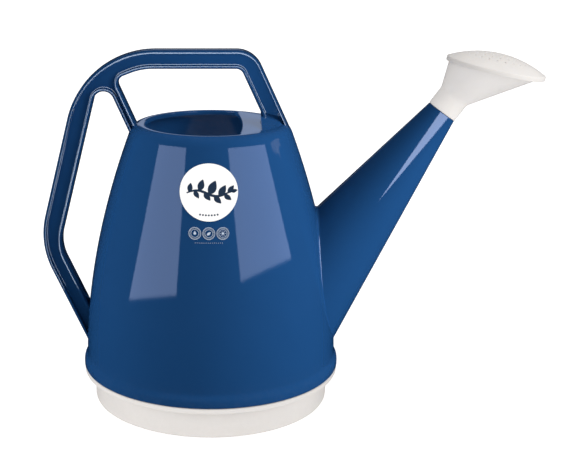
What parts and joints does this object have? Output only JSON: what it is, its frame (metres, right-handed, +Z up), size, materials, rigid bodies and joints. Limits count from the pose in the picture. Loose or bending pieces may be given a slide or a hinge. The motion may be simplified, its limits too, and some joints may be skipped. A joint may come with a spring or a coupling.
{
  "type": "watering can",
  "caption": "Ten-litre plastic watering can with a framed handle, a long conical spout and a white rose that turns on the spout and pulls off.",
  "frame": {"origin": "middle of the base on the ground, on the tank's axis", "axes": "+X towards the spout, +Z up; the handle and spout lie in the plane Y = 0"},
  "size_m": [0.4965, 0.262, 0.3576],
  "materials": {
    "blue_plastic": "gloss moulded polypropylene, deep blue",
    "white_plastic": "satin moulded polypropylene, warm white",
    "black_rubber": "soft black sealing rubber",
    "label_film": "printed film, semi-gloss white"
  },
  "bodies": {
    "can": {"body_shell": "blue_plastic", "handle_frame": "blue_plastic", "spout_tube": "blue_plastic", "base_cup": "white_plastic", "base_seal": "black_rubber", "round_label": "label_film", "care_mark_left": "label_film", "care_mark_middle": "label_film", "care_mark_right": "label_film"},
    "ring": {"rose_seal_ring": "black_rubber"},
    "rose": {"rose_funnel": "white_plastic", "rose_face_plate": "white_plastic"}
  },
  "joints": [
    {"name": "rose_turn", "type": "hinge", "parent": "can", "child": "ring", "pos_m": [0.2284, 0, 0.2958], "axis": [0.5878, 0, 0.809], "continuous": true},
    {"name": "rose_pull", "type": "slide", "parent": "ring", "child": "rose", "axis": [0.5878, 0, 0.809], "range_m": [0, 0.045]}
  ]
}
